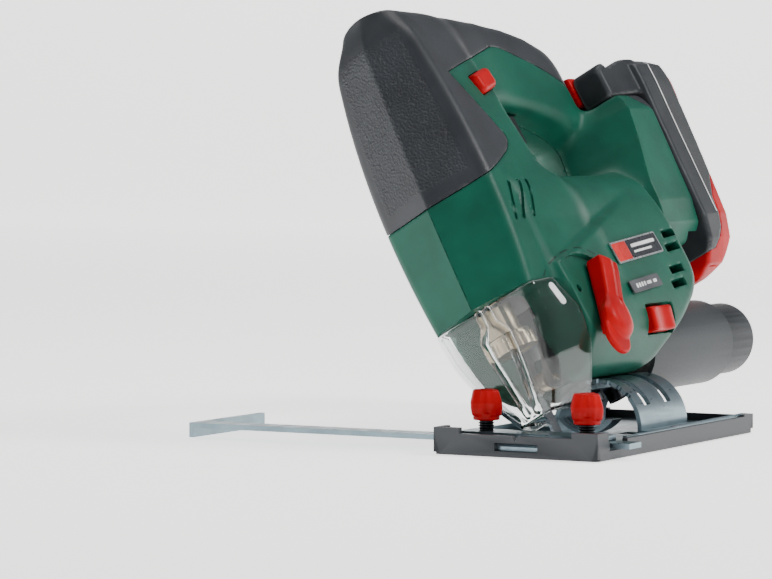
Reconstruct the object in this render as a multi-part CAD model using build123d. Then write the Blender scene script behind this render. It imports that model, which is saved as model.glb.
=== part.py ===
from build123d import *
import os
from math import cos, pi, radians, sin

# Cordless jigsaw on its shoe, with a rip fence. Millimetres.
# Row frame: +X is the machine's left side, -Y is the way it cuts, +Z is up. The origin is the
# middle of the sole, on the cutting line. Everything above the shoe is drawn upright and then
# leans about the bevel axis, which runs along Y at PIVOT_Z above the sole.

BEVEL_REST = 30.0          # the machine leans this far towards its right side
PIVOT_Z = 7.0              # bevel axis above the sole

# Shoe
SHOE_HALF = 40.0
SHOE_FRONT = -83.0
SHOE_BACK = 85.0
RAIL_HEIGHT = 8.0
RAIL_WALL = 2.5
FLOOR = 2.0                # plastic under the steel plate
PLATE = 2.5                # steel plate
PLATE_TOP = FLOOR + PLATE
SLOT_HALF = 9.0            # blade opening
SLOT_FRONT = -52.0
SLOT_BACK = -14.0

# Bevel arch, concentric with the bevel axis
ARCH_R = 22.0
ARCH_SHEET = 2.0
ARCH_LENGTH = 50.0
ARCH_SLOTS = (12.0, 34.0)  # along Y
ARCH_SLOT_HALF = 3.2
ARCH_SLOT_ANGLE = 62.0
TOOTH_STEP = 15.0

# Rip fence and its two clamp screws
FENCE_Y = -62.0
FENCE_WIDTH = 12.0
FENCE_SHEET = 2.4
FENCE_Z = PLATE_TOP + 0.2
FENCE_TIP = 48.0
FENCE_FAR = -176.0
FENCE_FOOT = 64.0
SCREW_X = 24.7
BRIDGE_Z = FENCE_Z + FENCE_SHEET + 0.4
BRIDGE_SHEET = 2.0
STUD_R = 3.0
KNOB_Z = 14.2
KNOB_HEIGHT = 13.6
KNOB_R = 7.4

# Machine body
WALL = 2.8
NOSE_BOTTOM = 71.0
LOWER_FRONT = -26.0
SADDLE_R = ARCH_R + 0.6
BODY_HALF = 36.0
CAVITY_FLOOR = 34.0

# Drive
PLUNGER_Y = -40.0
PLUNGER_R = 4.0
STROKE = 20.0              # the rest pose is in its middle
MOTOR_Z = 87.0
MOTOR_R = 20.5
CRANK_Z = 114.0
CRANK_R = 22.5
PINION_R = 4.5

# Dust adapter
TUBE_Z = 42.0
TUBE_R = 20.5
STUB_R = 17.5
TUBE_START = 56.0
TUBE_STEP = 146.0
TUBE_END = 178.0

# Battery pack
PACK_FRONT = 150.5
PACK_BACK = 188.0
PACK_WALL = 2.4
COLUMN_BACK = 150.0
COLUMN_TOP = 163.0
CELL_R = 9.2
CELL_LENGTH = 61.0


def block(x, y, z):
    """A box from its low and high limits on each axis."""
    centre = Pos((x[0] + x[1]) / 2, (y[0] + y[1]) / 2, (z[0] + z[1]) / 2)
    return centre * Box(x[1] - x[0], y[1] - y[0], z[1] - z[0])


def rod_x(r, x, y, z):
    return Pos((x[0] + x[1]) / 2, y, z) * Rot(0, 90, 0) * Cylinder(r, x[1] - x[0])


def rod_y(r, x, y, z):
    return Pos(x, (y[0] + y[1]) / 2, z) * Rot(90, 0, 0) * Cylinder(r, y[1] - y[0])


def rod_z(r, x, y, z):
    return Pos(x, y, (z[0] + z[1]) / 2) * Cylinder(r, z[1] - z[0])


def side_view(sketch, half):
    """A sketch of (y, z) made solid from -half to +half along X."""
    return extrude(Plane.YZ * sketch, half, both=True)


def front_view(sketch, y):
    """A sketch of (x, z) made solid between two values of y."""
    middle = Pos(0, (y[0] + y[1]) / 2, 0)
    return middle * extrude(Plane.XZ * sketch, (y[1] - y[0]) / 2, both=True)


def outline(points):
    return Polygon(*points, align=None)


def both_sides(points):
    """Closes an outline given by its right-hand points, from the bottom up."""
    return outline(list(points) + [(-x, z) for x, z in reversed(points)])


def inset(sketch, amount):
    if amount == 0:
        return sketch
    return offset(sketch, amount=-amount, kind=Kind.INTERSECTION)


def rounded(solid, edges, radius):
    """A fillet, left out on an edge set that is empty."""
    return fillet(edges, radius) if edges else solid


def group(items):
    """Like pieces kept as separate solids of one node."""
    return Compound([solid for item in items for solid in item.solids()])


def lean(solid):
    """Leans a machine part over from upright to the rest bevel."""
    return Pos(0, 0, PIVOT_Z) * Rot(0, -BEVEL_REST, 0) * Pos(0, 0, -PIVOT_Z) * solid


def arch_ring(r_in, r_out, y):
    return rod_y(r_out, 0, y, PIVOT_Z) - rod_y(r_in, 0, (y[0] - 1, y[1] + 1), PIVOT_Z)


def sector(half_angle, y, reach=60):
    """A wedge about the bevel axis, open upwards, for cutting rings to an arc."""
    a = radians(half_angle)
    tip = (0, PIVOT_Z)
    points = [tip, (reach * sin(a), PIVOT_Z + reach * cos(a)), (0, PIVOT_Z + 2 * reach),
              (-reach * sin(a), PIVOT_Z + reach * cos(a))]
    return front_view(outline(points), y)


# ---------------------------------------------------------------- shoe

def glide_shoe():
    """Plastic tray under the steel plate: floor, side rails, front wall and corner blocks."""
    outer = (-SHOE_HALF, SHOE_HALF)
    length = (SHOE_FRONT, SHOE_BACK)
    tray = block(outer, length, (0, RAIL_HEIGHT))
    tray = rounded(tray, tray.edges().filter_by(Axis.Z), 3)
    inner = (-SHOE_HALF + RAIL_WALL, SHOE_HALF - RAIL_WALL)
    tray -= block(inner, (SHOE_FRONT + 3, SHOE_BACK - 2.5), (FLOOR, 30))
    tray += block((-30, 30), (SHOE_FRONT, SHOE_FRONT + 3), (2, 9.5))
    for side in (-1, 1):
        x = sorted((side * 27.5, side * SHOE_HALF))
        corner = block(x, (SHOE_FRONT, SHOE_FRONT + 11), (1, 12))
        corner -= block(sorted((side * 20, side * 37.5)), (SHOE_FRONT + 3, -60), (2, 30))
        tray += corner
        end = block(sorted((side * 34, side * SHOE_HALF)), (SHOE_BACK - 10, SHOE_BACK), (2, 8.8))
        tray += end - block(sorted((side * 20, side * 37.5)), (60, SHOE_BACK - 2.5), (2, 30))
        notch = (FENCE_Y - FENCE_WIDTH / 2 - 3, FENCE_Y + FENCE_WIDTH / 2 + 3)
        tray -= block(sorted((side * 36, side * 42)), notch, (FENCE_Z - 0.8, 30))
    tray -= block((-10, 11), (SHOE_FRONT - 1, SHOE_FRONT + 4), (2.6, 6.2))
    tray -= front_view(outline([(0, 7.2), (3.2, 12), (-3.2, 12)]), (SHOE_FRONT - 1, SHOE_FRONT + 4))
    tray -= block((-SLOT_HALF, SLOT_HALF), (SLOT_FRONT, SLOT_BACK), (-1, 5))
    return tray


def base_plate():
    """Steel plate with turned-up sides, the blade opening and two tapped lugs."""
    half = SHOE_HALF - RAIL_WALL - 0.2
    plate = block((-half, half), (SHOE_FRONT + 3.2, SHOE_BACK - 2.7), (FLOOR, PLATE_TOP))
    for side in (-1, 1):
        rim = sorted((side * half, side * (half - 2)))
        plate += block(rim, (FENCE_Y + 14, SHOE_BACK - 4), (FLOOR, RAIL_HEIGHT + 0.4))
    plate -= block((-SLOT_HALF - 2, SLOT_HALF + 2), (SLOT_FRONT, SLOT_BACK), (0, 6))
    plate -= block((9, 18), (2, 12), (0, 6))
    return plate


def fence_bridge():
    """Steel strap over the fence bar, tapped for its two clamp screws."""
    y = (FENCE_Y - 8, FENCE_Y + 8)
    strap = block((-35, 35), y, (BRIDGE_Z, BRIDGE_Z + BRIDGE_SHEET))
    for edge in (FENCE_Y - 8, FENCE_Y + 6.4):
        strap += block((-35, 35), (edge, edge + 1.6), (PLATE_TOP, BRIDGE_Z + 1))
    for side in (-1, 1):
        strap -= rod_z(STUD_R + 0.06, side * SCREW_X, FENCE_Y, (0, 20))
    return strap


def bevel_arch():
    """Half ring of steel sheet with two bevel slots and detent teeth on its front rim."""
    y = (0, ARCH_LENGTH)
    r_in = ARCH_R - ARCH_SHEET
    arch = arch_ring(r_in, ARCH_R, y) & block((-30, 30), (-5, 60), (PIVOT_Z, 60))
    for side in (-1, 1):
        arch += block(sorted((side * r_in, side * ARCH_R)), y, (PLATE_TOP, PIVOT_Z))
        arch += block(sorted((side * r_in, side * 31)), y, (PLATE_TOP, PLATE_TOP + ARCH_SHEET))
    for centre in ARCH_SLOTS:
        span = (centre - ARCH_SLOT_HALF, centre + ARCH_SLOT_HALF)
        arch -= arch_ring(r_in - 1, ARCH_R + 1, span) & sector(ARCH_SLOT_ANGLE, span)
    for step in range(-3, 4):
        turn = Pos(0, 0, PIVOT_Z) * Rot(0, step * TOOTH_STEP, 0)
        arch -= turn * rod_z(1.3, 0, 0, (r_in - 2, ARCH_R + 2))
    return arch


def chip_trough():
    """Ribbed steel trough behind the blade that turns chips back to the dust channel."""
    y = (-13, -3)
    shell = rod_y(17, 0, y, 22) - rod_y(15.4, 0, (-20, 5), 22)
    shell &= block((-15, 15), (-20, 5), (PLATE_TOP, 12))
    for step in range(3):
        y0 = y[0] + 1 + 3.2 * step
        rib = rod_y(15.5, 0, (y0, y0 + 1.4), 22) - rod_y(14.4, 0, (-20, 5), 22)
        shell += rib & block((-15, 15), (-20, 5), (PLATE_TOP, 12))
    return shell


# ---------------------------------------------------------------- rip fence

def fence_bar():
    """Flat bar through the shoe, turned down into a foot that runs along the work's edge."""
    y = (FENCE_Y - FENCE_WIDTH / 2, FENCE_Y + FENCE_WIDTH / 2)
    bar = block((FENCE_FAR, FENCE_TIP), y, (FENCE_Z, FENCE_Z + FENCE_SHEET))
    foot_y = (FENCE_Y - FENCE_WIDTH / 2, FENCE_Y - FENCE_WIDTH / 2 + FENCE_FOOT)
    bar += block((FENCE_FAR, FENCE_FAR + FENCE_SHEET), foot_y, (0.3, FENCE_Z + FENCE_SHEET))
    return bar


def fence_stud(side):
    stud = rod_z(STUD_R, side * SCREW_X, FENCE_Y, (FENCE_Z + FENCE_SHEET + 0.2, KNOB_Z + 4))
    return stud


def fence_knob(side):
    """Red thumb screw head: a flange under a three-lobed, tapered grip."""
    grip = Pos(0, 0, KNOB_Z + 2.4) * loft([
        RegularPolygon(KNOB_R, 9),
        Pos(0, 0, KNOB_HEIGHT * 0.55) * RegularPolygon(KNOB_R, 9),
        Pos(0, 0, KNOB_HEIGHT - 2.4) * RegularPolygon(KNOB_R * 0.74, 9)], ruled=True)
    for turn in range(3):
        flute = Pos(KNOB_R + 1.6, 0, KNOB_Z + KNOB_HEIGHT / 2) * Cylinder(2.6, KNOB_HEIGHT * 2)
        grip -= Rot(0, 0, 120 * turn + 20) * flute
    flange = rod_z(KNOB_R - 1.2, 0, 0, (KNOB_Z, KNOB_Z + 2.4))
    knob = grip + flange
    knob -= rod_z(STUD_R, 0, 0, (KNOB_Z - 1, KNOB_Z + 4))
    return Pos(side * SCREW_X, FENCE_Y, 0) * knob


# ---------------------------------------------------------------- machine housing

NOSE_SECTIONS = (          # z, crease y, ridge x, ridge y, back x, back y
    (71.0, -62.0, 27.0, -53.0, 31.0, 2.0),
    (123.0, -55.5, 30.2, -46.0, 33.0, 14.0),
    (165.0, -47.5, 28.0, -42.0, 26.0, 20.0),
    (198.0, -38.5, 21.0, -34.0, 18.0, 24.0),
    (216.0, -25.0, 11.0, -21.0, 10.0, 24.0),
)
LOWER_OUTLINE = ((15.0, 27.0), (33.5, 46.0), (BODY_HALF, 62.0), (BODY_HALF, 92.0),
                 (31.0, 116.0), (20.0, 128.0))
TRUNK_SIDE = ((LOWER_FRONT, 26.0), (45.0, 26.0), (98.0, 56.0), (105.0, 66.0), (105.0, 128.0),
              (LOWER_FRONT, 128.0))
COLUMN_SIDE = ((88.0, 96.0), (112.0, 83.0), (COLUMN_BACK, 86.0), (COLUMN_BACK, COLUMN_TOP),
               (118.0, COLUMN_TOP), (100.0, 150.0), (96.0, 128.0))
COLUMN_OUTLINE = ((22.0, 84.0), (30.0, 93.0), (32.5, 105.0), (33.5, 120.0), (34.8, 137.0),
                  (35.8, 154.0), (33.0, COLUMN_TOP))
OPENING_SIDE = ((14.0, 131.0), (95.0, 131.0), (102.0, 141.0), (103.0, 152.0), (86.0, 164.0),
                (32.0, 170.0), (16.0, 162.0))
CAP_SIDE = ((-80.0, 120.0), (-46.0, 123.0), (-12.0, 138.0), (-26.0, 178.0), (12.0, 188.0),
            (62.0, 201.0), (98.0, 187.0), (122.0, 172.0), (160.0, 172.0), (160.0, 260.0),
            (-80.0, 260.0))
HANDLE_HALF = 16.5
BOSSES = ((-9.0, 151.0), (97.0, 111.0), (126.0, 95.0), (112.0, 156.0), (6.0, 43.0), (40.0, 43.0))
BOSS_R = 5.0
HEAD_X = -16.0             # the screw heads sit this far right of the middle
GUARD_Y = (-53.6, -27.0)
LEVER = (-13.0, 43.0)      # orbital lever's axle, y and z
TRIGGER = (24.0, 63.0)
LOCK_CENTRE = (3.0, 173.5)
LOCK_TURN = 15.0
VENTS = ((95.5, 85.5), (92.0, 78.2), (84.5, 66.6), (79.5, 59.3))
LABEL_TURN = 5.0           # labels and vents climb this steeply towards the back


def nose_form(w):
    """Wedge-shaped nose: two front facets that meet in a crease, narrowing to the top."""
    rings = []
    for z, crease, ridge_x, ridge_y, back_x, back_y in NOSE_SECTIONS:
        ring = outline([(0, crease), (ridge_x, ridge_y), (back_x, back_y), (-back_x, back_y),
                        (-ridge_x, ridge_y)])
        rings.append(Pos(0, 0, z) * inset(ring, w))
    nose = loft(rings, ruled=True)
    z = (NOSE_SECTIONS[0][0] + w, NOSE_SECTIONS[-1][0] - w)
    return nose & block((-50, 50), (-80, 40), z)


def handle_form(w):
    """Top handle: an arched bar from the nose back to the battery column."""
    edge = Polyline((122, 160), (122, 166), (111, 197), (92, 212))
    edge += ThreePointArc((92, 212), (42, 222), (-18, 214))
    edge += Polyline((-18, 214), (-18, 150), (122, 150), (122, 160))
    profile = inset(make_face(edge), w)
    return side_view(profile, HANDLE_HALF - w)


def trunk_form(w):
    """Lower body over the arch: motor, gears and dust channel lie in it."""
    side = side_view(inset(outline(TRUNK_SIDE), w), 50)
    front = front_view(inset(both_sides(LOWER_OUTLINE), w), (-40, 140))
    return side & front


def column_form(w):
    """Rear column that carries the battery rails."""
    side = side_view(inset(outline(COLUMN_SIDE), w), 50)
    front = front_view(inset(both_sides(COLUMN_OUTLINE), w), (60, 190))
    return side & front


def machine_form(w):
    form = nose_form(w) + handle_form(w) + trunk_form(w) + column_form(w)
    return form - side_view(inset(outline(OPENING_SIDE), -w), 60)


def machine_shell():
    """Hollow plastic body before it is split into its halves and its cap."""
    cavity = machine_form(WALL) & block((-60, 60), (-90, 200), (CAVITY_FLOOR, 260))
    cavity -= rod_y(TUBE_R + 3.4, 0, (30, 120), TUBE_Z)
    cavity -= block((-60, 60), (132, 160), (80, 170))
    for y, z in BOSSES:
        cavity -= rod_x(BOSS_R, (-60, 60), y, z)
    shell = machine_form(0) - cavity
    shell -= rod_y(SADDLE_R, 0, (-40, 54), PIVOT_Z)
    shell -= rod_y(TUBE_R + 0.4, 0, (TUBE_START - 1, 130), TUBE_Z)
    shell -= block((-26.5, 26.5), (139.5, 160), (78, 190))
    shell -= block((-11, 11), (-52, -14), (60, 78))
    shell -= block((-9, 9), (-40, -12), (20, 70))
    shell -= block((-20.3, 20.3), (134.2, 140), (91.7, 150.3))
    for y in ARCH_SLOTS:
        shell -= rod_z(2.7, 0, y, (20, 38))
    for y, z in BOSSES:
        shell -= rod_x(3.4, (-60, HEAD_X), y, z) + rod_x(1.7, (HEAD_X, 12), y, z)
    for side in (-1, 1):
        for y, z in VENTS:
            slot = Box(20, 16, 3.8)
            shell -= Pos(side * 35, y, z) * Rot(LABEL_TURN, 0, 0) * slot
    shell -= rod_x(3.3, (22, 60), *LEVER)
    shell -= block((24.5, 60), (33.5, 62.5), (37.5, 50.5))
    shell -= lock_bar(0.3)
    shell -= block((-7, 7), (TRIGGER[0] - 1, TRIGGER[1] + 1), (155, 172))
    return shell


def cap_region():
    return side_view(outline(CAP_SIDE), 70)


def housing(shell, side):
    half = block(sorted((0, side * 70)), (-90, 200), (0, 260))
    return (shell - cap_region()) & half


def housing_screws():
    screws = []
    for y, z in BOSSES:
        screw = rod_x(3.1, (HEAD_X - 2.6, HEAD_X - 0.1), y, z) + rod_x(1.6, (HEAD_X - 1, 11), y, z)
        screws.append(screw - rod_x(1.2, (HEAD_X - 4, HEAD_X - 1.2), y, z))
    return group(screws)


def label(length, height, y, z):
    """Thin plate on the left side of the motor housing."""
    plate = Box(0.6, length, height)
    plate = rounded(plate, plate.edges().filter_by(Axis.X), 1.0)
    return Pos(BODY_HALF + 0.35, y, z) * Rot(LABEL_TURN, 0, 0) * plate


# ---------------------------------------------------------------- gears and motor

def gear_frame():
    """Die-cast frame: back plate, two cheeks and the two plunger bushings."""
    frame = block((-25, 25), (-13, -8), (68, 143))
    for side in (-1, 1):
        frame += block(sorted((side * 23, side * 25)), (-40, -8), (84, 143))
    for z in ((84, 91), (138, 143)):
        frame += block((-25, 25), (-40, -34.6), z)
        frame += block((-8, 8), (-46, -34.6), z)
    frame -= rod_z(PLUNGER_R + 0.05, 0, PLUNGER_Y, (60, 160))
    frame -= rod_y(4.06, 0, (-20, 0), CRANK_Z)
    frame -= rod_y(5.2, 0, (-20, 0), MOTOR_Z)
    return frame


def toothed_disc(r, teeth, y, z, turn=0.0):
    """Spur gear with short teeth that clear their partner's."""
    disc = rod_y(r - 1.0, 0, y, z)
    for tooth in range(teeth):
        bar = Pos(0, 0, r - 0.9) * Box(pi * r / teeth * 0.8, y[1] - y[0], 1.6)
        angle = 360 * tooth / teeth + turn
        disc += Pos(0, (y[0] + y[1]) / 2, z) * Rot(0, angle, 0) * bar
    return disc


def crank_gear():
    """Gear on a stub axle, with the crank pin in front that lifts the plunger's yoke."""
    gear = toothed_disc(CRANK_R, 40, (-22, -17), CRANK_Z)
    gear += rod_y(4.0, 0, (-17, -6), CRANK_Z)
    gear += rod_y(3.0, STROKE / 2, (-31.4, -22), CRANK_Z)
    return gear


def motor_can():
    can = rod_y(MOTOR_R, 0, (12, 74), MOTOR_Z) - rod_y(MOTOR_R - 1.6, 0, (13.6, 72.4), MOTOR_Z)
    can -= rod_y(2.56, 0, (0, 90), MOTOR_Z)
    return can


def motor_rotor():
    rotor = rod_y(2.5, 0, (-23, 90), MOTOR_Z)
    rotor += rod_y(12, 0, (22, 62), MOTOR_Z)
    return rotor


def motor_pinion():
    pinion = toothed_disc(PINION_R, 8, (-22, -16.5), MOTOR_Z)
    return pinion - rod_y(2.5, 0, (-30, 0), MOTOR_Z)


def cooling_fan():
    fan = rod_y(6, 0, (77, 86), MOTOR_Z) + rod_y(19, 0, (77, 78.5), MOTOR_Z)
    for blade in range(9):
        vane = Pos(0, 82, 12) * Box(1.4, 8, 13)
        fan += Pos(0, 0, MOTOR_Z) * Rot(0, 40 * blade, 0) * vane
    return fan - rod_y(2.5, 0, (70, 95), MOTOR_Z)


def plunger_rod():
    rod = rod_z(PLUNGER_R, 0, PLUNGER_Y, (70, 150))
    yoke = block((-15, 15), (PLUNGER_Y + 3, -31.9), (109, 119))
    return rod + yoke


def blade_clamp():
    clamp = rod_z(7.2, 0, PLUNGER_Y, (49, 70))
    clamp += block((-6, 6), (PLUNGER_Y - 8.4, PLUNGER_Y), (57, 69))
    return clamp - block((-0.65, 0.65), (-44.6, -36.1), (48, 60))


def clamp_collar():
    """Scalloped ring that is twisted to free the blade."""
    collar = rod_z(11.2, 0, 0, (48.6, 54.6))
    for turn in range(10):
        collar -= Rot(0, 0, 36 * turn) * rod_z(2.2, 12.4, 0, (40, 60))
    collar += rod_z(10, 0, 0, (54.6, 56.4))
    return Pos(0, PLUNGER_Y, 0) * (collar - rod_z(7.3, 0, 0, (40, 60)))


def blade():
    """Short T-shank blade, toothed along its front edge."""
    back, front, top, tip = -36.3, -44.3, 59.0, 0.6
    pitch = 2.4
    edge = [(back, top), (back, tip + 6), (back - 3.5, tip), (front + 0.9, tip)]
    z = tip + pitch
    while z < 42:
        edge += [(front, z - pitch * 0.1), (front + 0.9, z)]
        z += pitch
    edge += [(front, 44.0), (front, top)]
    return side_view(outline(edge), 0.6)


def roller_fork():
    """Arm behind the blade: its two cheeks hold the guide roller."""
    side = outline([(-34, 28), (-26, 28), (-17, 52), (-13, 60), (-13, 66), (-21, 66), (-25, 52)])
    fork = side_view(side, 6.6) - block((-4.1, 4.1), (-60, -20), (20, 50))
    fork -= rod_x(3.06, (-10, 10), -17, 62)
    return fork - rod_x(1.56, (-10, 10), -30.6, 32)


def guide_roller():
    roller = rod_x(4.6, (-3.8, 3.8), -30.6, 32) + rod_x(1.5, (-7.2, 7.2), -30.6, 32)
    groove = rod_x(6, (-0.9, 0.9), -30.6, 32) - rod_x(3.4, (-2, 2), -30.6, 32)
    return roller - groove


def fork_axle():
    return rod_x(3.0, (-8.9, 8.9), -17, 62)


# ---------------------------------------------------------------- controls

def orbital_lever():
    """Hub and grip of the four-step pendulum lever, on the left side."""
    y, z = LEVER
    hub = rod_x(9.5, (BODY_HALF + 0.3, 41), y, z) + rod_x(3.2, (24, 37), y, z)
    grip = Pos(39.6, 0, 16) * Box(6.6, 9.5, 30)
    grip = rounded(grip, grip.edges().filter_by(Axis.Z), 2)
    return hub + Pos(0, y, z) * Rot(-30, 0, 0) * grip


def blower_switch():
    key = block((25, BODY_HALF + 1.5), (34.2, 56), (38, 50))
    dish = rod_z(14, 49, 45.1, (30, 60))
    return key - dish


def lock_bar(gap=0.0):
    y, z = LOCK_CENTRE
    bar = Box(58 + 40 * gap, 17 + 2 * gap, 10.5 + 2 * gap)
    return Pos(0, y, z) * Rot(LOCK_TURN, 0, 0) * bar


def trigger():
    body = block((-6.4, 6.4), TRIGGER, (152, 166))
    body = rounded(body, body.edges().filter_by(Axis.Z), 3)
    return body - rod_x(26, (-20, 20), sum(TRIGGER) / 2, 128.5)


def switch_module():
    return block((-7, 7), (28, 60), (174.5, 195))


def control_board():
    return block((-20, 20), (20, 90), (121.5, 123.5))


def tilt_clamp_plate():
    """Curved steel washer plate under the arch."""
    y = (4, 42)
    ring = arch_ring(ARCH_R - ARCH_SHEET - 2.6, ARCH_R - ARCH_SHEET - 0.4, y)
    plate = ring & sector(24, (y[0] - 1, y[1] + 1))
    for centre in ARCH_SLOTS:
        plate -= rod_z(2.6, 0, centre, (0, 60))
    return plate


def tilt_screws():
    """Two black socket screws that clamp the body to the arch."""
    top = PIVOT_Z + ARCH_R - ARCH_SHEET - 3.4
    screws = []
    for centre in ARCH_SLOTS:
        head = rod_z(4.3, 0, centre, (top - 5, top))
        head -= Pos(0, centre, top - 5) * extrude(RegularPolygon(2.3, 6), 3)
        screws.append(head + rod_z(2.5, 0, centre, (top, top + 9)))
    return group(screws)


# ---------------------------------------------------------------- guard and dust adapter

def guard():
    """Clear cover in front of the blade: a flat face and two side walls that flare backwards."""
    def cup(w, y):
        front = [(9.5 - w, 15.5 + w), (21 - w, 37), (26.5 - w, 56), (27.5 - w, 70.6 + 3 * w)]
        rear = [(13 - w, 21 + w), (26 - w, 42), (31.5 - w, 57), (32 - w, 70.6 + 3 * w)]
        faces = [Pos(0, y[0], 0) * (Plane.XZ * both_sides(front)),
                 Pos(0, y[1], 0) * (Plane.XZ * both_sides(rear))]
        return loft(faces, ruled=True)
    shell = cup(0, GUARD_Y) - cup(1.8, (GUARD_Y[0] + 1.8, GUARD_Y[1] + 0.1))
    shell -= block((-8, 8), (GUARD_Y[0] + 1.8, 0), (10, 24))
    return shell - side_view(outline([(-26, 52), (-20, 52), (-20, 80), (-44, 80), (-44, 70)]), 40)


def dust_adapter():
    """Tube from the dust channel to a stub for a vacuum hose."""
    outer = rod_y(TUBE_R, 0, (TUBE_START, TUBE_STEP), TUBE_Z)
    outer += rod_y(TUBE_R - 1, 0, (TUBE_STEP, TUBE_STEP + 2), TUBE_Z)
    outer += rod_y(STUB_R, 0, (TUBE_STEP + 2, TUBE_END), TUBE_Z)
    inner = rod_y(TUBE_R - 2, 0, (TUBE_START - 1, TUBE_STEP - 2), TUBE_Z)
    inner += rod_y(STUB_R - 2, 0, (TUBE_STEP - 3, TUBE_END + 1), TUBE_Z)
    return outer - inner


# ---------------------------------------------------------------- battery pack

PACK_OUTLINE = ((12.0, 67.5), (24.0, 73.0), (31.0, 83.0), (34.0, 95.0), (35.0, 120.0),
                (36.2, 146.0), (37.5, 168.0), (37.5, 178.0), (33.0, 183.0))
PACK_SIDE = ((PACK_FRONT, 70.0), (156.0, 67.5), (168.0, 70.0), (178.0, 81.0), (184.0, 112.0),
             (PACK_BACK, 146.0), (PACK_BACK, 174.0), (180.0, 183.0), (128.0, 183.0), (124.0, 179.0),
             (124.0, 163.6), (PACK_FRONT, 163.6))
COVER_SIDE = ((185.6, 200.0), (185.6, 146.0), (182.0, 116.0), (172.0, 108.0), (167.0, 88.0),
              (158.0, 79.0), (140.0, 76.0), (140.0, 50.0), (200.0, 50.0), (200.0, 200.0))


def pack_form(w):
    side = side_view(inset(outline(PACK_SIDE), w), 50)
    return side & front_view(inset(both_sides(PACK_OUTLINE), w), (110, 200))


def battery_shell():
    shell = pack_form(0) - pack_form(PACK_WALL) - side_view(outline(COVER_SIDE), 60)
    shell += block((-25.8, 25.8), (141, PACK_FRONT + 1), (92, 162))
    shell -= block((-14.6, 14.6), (120, 138), (163, 190))
    return shell


def battery_cover():
    return (pack_form(0) - pack_form(PACK_WALL)) & side_view(outline(COVER_SIDE), 60)


def battery_cells():
    cells = []
    for cell in range(5):
        y = 162.4 + 8.0 * (cell % 2)
        half = CELL_LENGTH / 2
        cells.append(rod_x(CELL_R, (-half, half), y, 101.5 + 16.8 * cell))
    return group(cells)


def battery_button():
    button = block((-14, 14), (122.6, 134), (167, 184))
    return rounded(button, button.edges().filter_by(Axis.X), 2)


def battery_rails():
    """Terminal block in the rear column, behind the pack's tongue."""
    return block((-20, 20), (134.5, 139), (92, 150))


def write(node, solid):
    export_step(solid, f"parts/{node}.step")


def main():
    os.makedirs("parts", exist_ok=True)
    for node, solid in {
            "glide_shoe": glide_shoe(), "base_plate": base_plate(),
            "fence_bridge": fence_bridge(), "bevel_arch": bevel_arch(),
            "chip_trough": chip_trough(), "fence_bar": fence_bar(),
            "fence_stud_left": fence_stud(1), "fence_stud_right": fence_stud(-1),
            "fence_knob_left": fence_knob(1), "fence_knob_right": fence_knob(-1)}.items():
        write(node, solid)
    shell = machine_shell()
    for node, solid in {
            "housing_left": housing(shell, 1), "housing_right": housing(shell, -1),
            "top_cap": shell & cap_region(), "housing_screws": housing_screws(),
            "brand_plate": label(53, 10.8, 50.5, 78.6), "type_plate": label(34, 6.2, 41, 60.1),
            "gear_frame": gear_frame(), "crank_gear": crank_gear(), "motor_can": motor_can(),
            "motor_rotor": motor_rotor(), "motor_pinion": motor_pinion(),
            "cooling_fan": cooling_fan(), "plunger_rod": plunger_rod(),
            "blade_clamp": blade_clamp(), "clamp_collar": clamp_collar(), "blade": blade(),
            "roller_fork": roller_fork(), "guide_roller": guide_roller(),
            "fork_axle": fork_axle(), "orbital_lever": orbital_lever(),
            "blower_switch": blower_switch(), "lock_off_button": lock_bar(),
            "trigger": trigger(), "switch_module": switch_module(),
            "control_board": control_board(), "tilt_clamp_plate": tilt_clamp_plate(),
            "tilt_screws": tilt_screws(), "guard": guard(), "dust_adapter": dust_adapter(),
            "battery_shell": battery_shell(), "battery_cover": battery_cover(),
            "battery_cells": battery_cells(), "battery_button": battery_button(),
            "battery_rails": battery_rails()}.items():
        write(node, lean(solid))


main()
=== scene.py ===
import math

import bpy
import numpy as np
from mathutils import Matrix, Vector


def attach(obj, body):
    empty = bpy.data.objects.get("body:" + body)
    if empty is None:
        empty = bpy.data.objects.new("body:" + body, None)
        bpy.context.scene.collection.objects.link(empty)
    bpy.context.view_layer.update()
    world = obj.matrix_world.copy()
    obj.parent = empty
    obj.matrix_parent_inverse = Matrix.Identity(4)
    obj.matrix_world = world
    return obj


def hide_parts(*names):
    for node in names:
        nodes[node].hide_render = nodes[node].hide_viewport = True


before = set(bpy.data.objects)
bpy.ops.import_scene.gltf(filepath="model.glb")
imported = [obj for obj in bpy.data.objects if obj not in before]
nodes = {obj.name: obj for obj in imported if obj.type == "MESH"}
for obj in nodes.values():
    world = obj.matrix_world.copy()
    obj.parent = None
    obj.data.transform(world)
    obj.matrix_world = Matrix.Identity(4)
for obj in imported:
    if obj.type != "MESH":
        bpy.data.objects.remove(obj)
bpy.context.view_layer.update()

# ------------------------------------------------------------ the place it stands in
# A plain pale floor with a low curved back, five soft studio panels and the camera.
# The saw stands on it on its own sole, leaning over in its bevel setting.


def sweep(name, outline, half_width, material):
    """A strip of floor drawn sideways from an outline of (distance back, height)."""
    mesh = bpy.data.meshes.new(name)
    points = [(side * half_width, y, z) for y, z in outline for side in (-1, 1)]
    faces = [(2 * i, 2 * i + 1, 2 * i + 3, 2 * i + 2) for i in range(len(outline) - 1)]
    mesh.from_pydata(points, [], faces)
    mesh.shade_smooth()
    mesh.materials.append(material)
    floor = bpy.data.objects.new(name, mesh)
    bpy.context.collection.objects.link(floor)
    return floor


def plain_paint(name, colour, rough):
    material = bpy.data.materials.new(name)
    material.use_nodes = True
    shader = material.node_tree.nodes["Principled BSDF"]
    shader.inputs["Base Color"].default_value = (*colour, 1)
    shader.inputs["Roughness"].default_value = rough
    return material


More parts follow.
